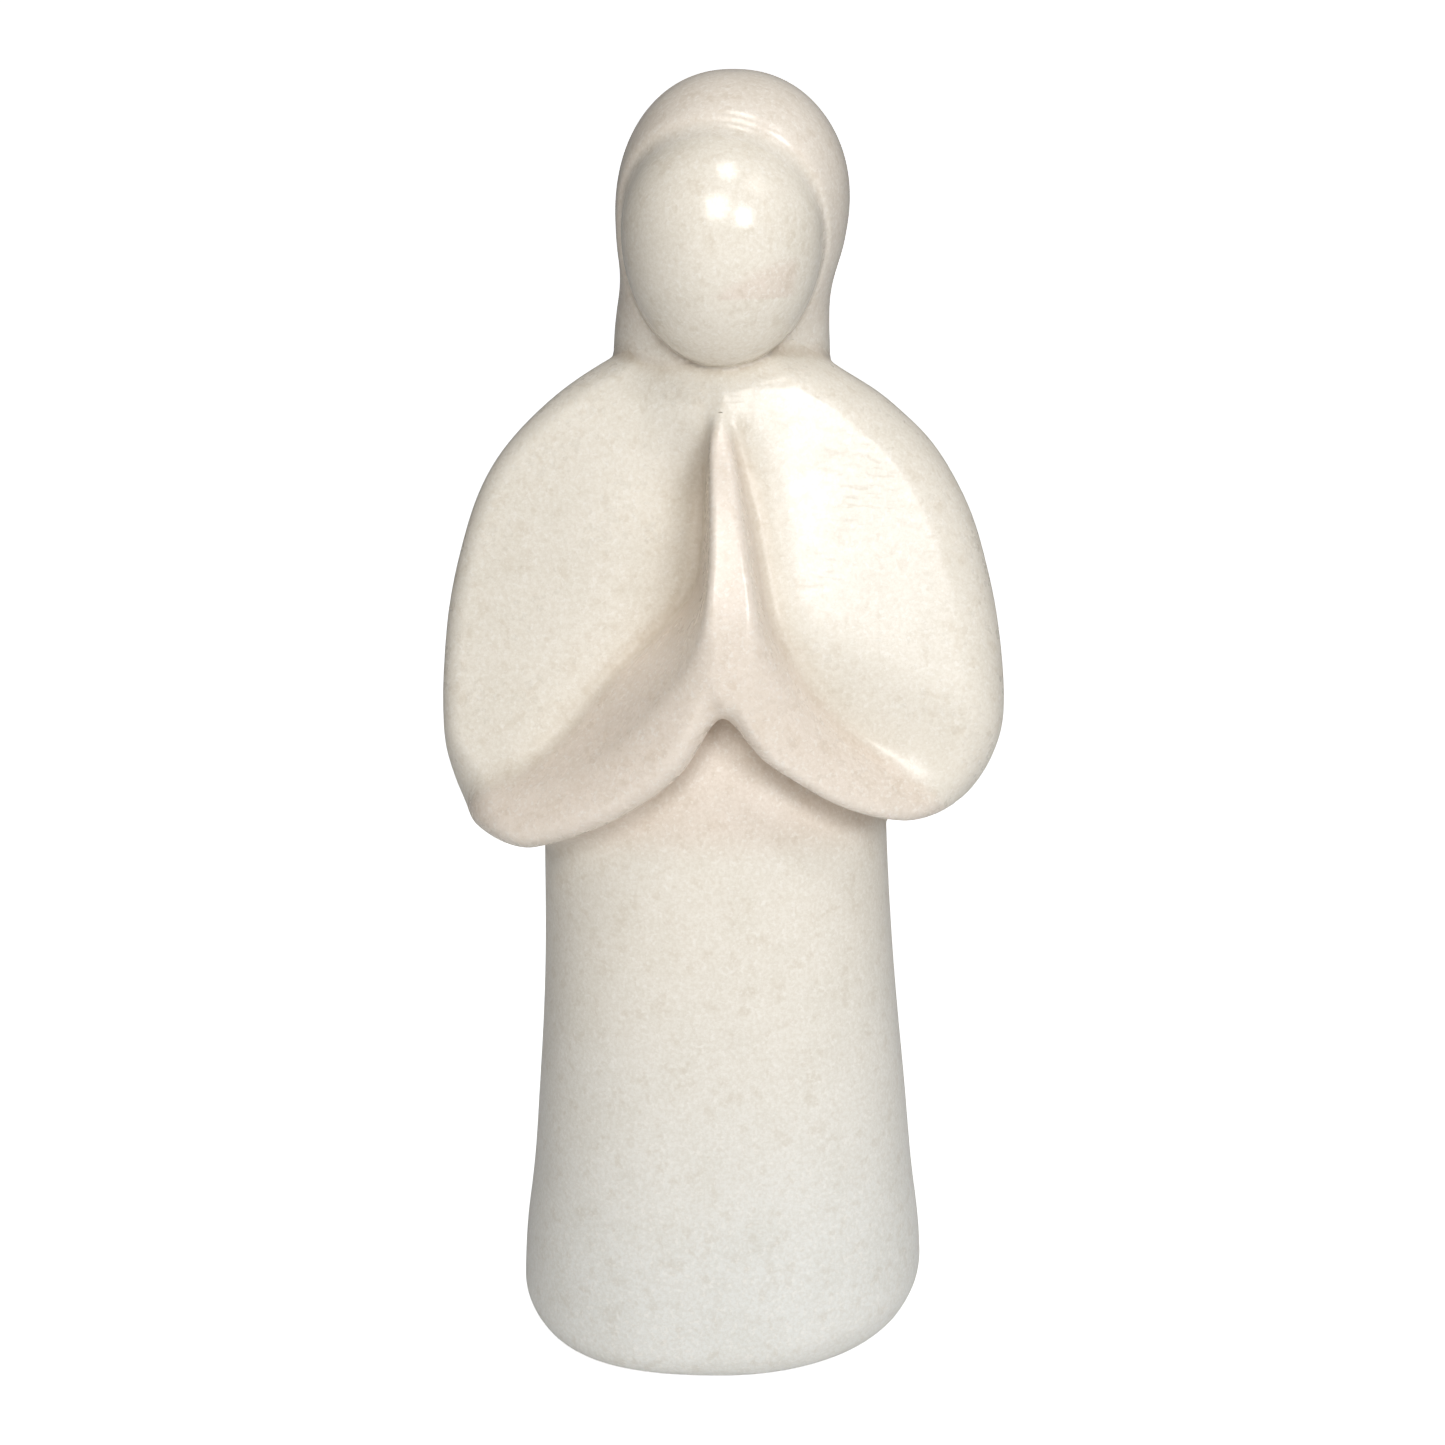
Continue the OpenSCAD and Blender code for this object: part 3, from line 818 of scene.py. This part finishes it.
floorPaint.inputs["Roughness"].default_value = 0.9
floorPaint.inputs["Emission Color"].default_value = (1, 1, 1, 1)
seenFloor = floorTree.nodes.new("ShaderNodeLightPath")
lift = floorTree.nodes.new("ShaderNodeMath")  # keeps the floor pale to the eye without lighting the stone
lift.operation = "MULTIPLY"
lift.inputs[1].default_value = sweepShape["glow"]
floorTree.links.new(seenFloor.outputs["Is Camera Ray"], lift.inputs[0])
floorTree.links.new(lift.outputs[0], floorPaint.inputs["Emission Strength"])
floorMesh.materials.append(floorLook)

lightAim = 0.11  # height that every light points at
lightSetup = {
    "key": {"az": 24, "el": 22, "far": 0.60, "size": (0.17, 0.17), "watts": 1.15,
            "color": (0.95, 0.975, 1.0)},
    "side": {"az": 50, "el": 48, "far": 0.80, "size": (0.24, 0.24), "watts": 0.5,
             "color": (1.0, 0.98, 0.95)},
    "front": {"az": -7, "el": 30, "far": 1.0, "size": (0.40, 0.40), "watts": 4.1,
              "color": (1.0, 0.985, 0.955)},
    "top": {"az": 10, "el": 68, "far": 0.70, "size": (0.20, 0.20), "watts": 0.95,
            "color": (1.0, 0.985, 0.96)},
    "rear": {"az": 165, "el": 40, "far": 1.2, "size": (0.80, 0.80), "watts": 2.6,
             "color": (1.0, 0.99, 0.97), "shines": False},
}


def softbox(name, s):
    # angles in degrees round the statue, 0 in front and to the right from there
    light = bpy.data.lights.new(name, "AREA")
    light.shape = "RECTANGLE"
    light.size, light.size_y = s["size"]
    light.energy = s["watts"]
    light.color = s["color"]
    o = bpy.data.objects.new(name, light)
    a, e = math.radians(s["az"]), math.radians(s["el"])
    aim = Vector((0, 0, lightAim))
    way = Vector((math.sin(a) * math.cos(e), -math.cos(a) * math.cos(e), math.sin(e)))
    o.location = aim + s["far"] * way
    o.rotation_euler = (aim - o.location).to_track_quat("-Z", "Y").to_euler()
    o.visible_camera = False
    o.visible_glossy = s.get("shines", True)
    scene.collection.objects.link(o)


for name, s in lightSetup.items():
    softbox(name, s)

# the room is dim on the left and bright on the right, with clean white seen behind the statue
roomLight = {"From Min": -0.7, "From Max": 0.6, "To Min": 0.03, "To Max": 0.13}
world = bpy.data.worlds.new("studio")
world.use_nodes = True
room = world.node_tree
sky = room.nodes["Background"]
sky.inputs["Color"].default_value = (1, 1, 1, 1)
seen = room.nodes.new("ShaderNodeLightPath")
way = room.nodes.new("ShaderNodeTexCoord")
part = room.nodes.new("ShaderNodeSeparateXYZ")
fall = room.nodes.new("ShaderNodeMapRange")
for label, value in roomLight.items():
    fall.inputs[label].default_value = value
glow = room.nodes.new("ShaderNodeMix")
glow.inputs[3].default_value = 1.0
room.links.new(way.outputs["Generated"], part.inputs[0])
room.links.new(part.outputs["X"], fall.inputs["Value"])
room.links.new(seen.outputs["Is Camera Ray"], glow.inputs[0])
room.links.new(fall.outputs["Result"], glow.inputs[2])
room.links.new(glow.outputs[0], sky.inputs["Strength"])
scene.world = world
print("studio ready")
